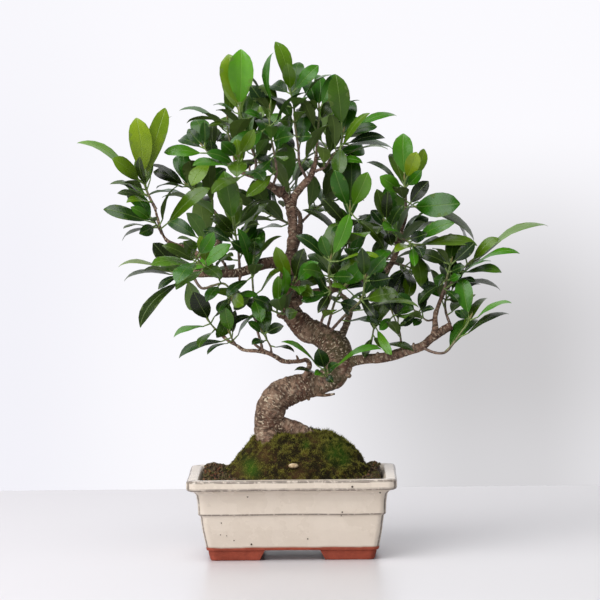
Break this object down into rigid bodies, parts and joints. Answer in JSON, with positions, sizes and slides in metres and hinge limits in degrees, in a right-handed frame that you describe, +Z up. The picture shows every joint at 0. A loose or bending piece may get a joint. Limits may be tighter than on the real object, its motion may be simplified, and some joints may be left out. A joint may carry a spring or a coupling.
{
  "type": "bonsai tree in a pot",
  "caption": "S-curved ficus bonsai with an open leafy crown, planted in a moss mound in a rectangular footed glazed pot",
  "frame": {"origin": "middle of the whole object's box, at the floor the feet stand on", "axes": "+Z up, the front of the tree toward -Y, +X to the right seen from the front"},
  "size_m": [0.4712, 0.2764, 0.5141],
  "materials": {
    "pot_ceramic": "cream glaze over terracotta, bare at the feet",
    "soil": "crumbly earth",
    "moss": "soft living moss",
    "pebble": "smooth",
    "bark": "rough bark with pale lenticels",
    "leaf": "semi-gloss leaf"
  },
  "bodies": {
    "root": {"limb_apex_left": "bark", "limb_apex_right": "bark", "limb_back_high": "bark", "limb_back_low": "bark", "limb_left": "bark", "limb_low_left": "bark", "limb_low_right": "bark", "limb_right": "bark", "moss_mound": "moss", "pebble": "pebble", "pot": "pot_ceramic", "shoot_apex_centre": "leaf", "shoot_apex_left_back": "leaf", "shoot_apex_left_end": "leaf", "shoot_apex_left_front": "leaf", "shoot_apex_left_inner": "leaf", "shoot_apex_left_mid": "leaf", "shoot_apex_left_tall": "leaf", "shoot_apex_right_back": "leaf", "shoot_apex_right_reach": "leaf", "shoot_apex_right_rise": "leaf", "shoot_back_high_end": "leaf", "shoot_back_high_left": "leaf", "shoot_back_high_side": "leaf", "shoot_back_low_end": "leaf", "shoot_back_low_side": "leaf", "shoot_bend_first": "leaf", "shoot_bend_second": "leaf", "shoot_bend_third": "leaf", "shoot_left_back": "leaf", "shoot_left_end_low": "leaf", "shoot_left_fork": "leaf", "shoot_left_front": "leaf", "shoot_left_hook": "leaf", "shoot_left_rise": "leaf", "shoot_left_tip_mid": "leaf", "shoot_left_tip_top": "leaf", "shoot_low_left_inner": "leaf", "shoot_low_left_mid": "leaf", "shoot_low_left_rise": "leaf", "shoot_low_left_tip": "leaf", "shoot_low_right_back": "leaf", "shoot_low_right_inner": "leaf", "shoot_low_right_left": "leaf", "shoot_low_right_mid": "leaf", "shoot_low_right_outer": "leaf", "shoot_right_back": "leaf", "shoot_right_crown": "leaf", "shoot_right_hang": "leaf", "shoot_right_heart": "leaf", "shoot_right_inner": "leaf", "shoot_right_reach": "leaf", "shoot_right_side": "leaf", "shoot_right_top": "leaf", "shoot_trunk_front": "leaf", "shoot_trunk_heart": "leaf", "shoot_trunk_left": "leaf", "soil": "soil", "trunk": "bark"}
  },
  "joints": []
}
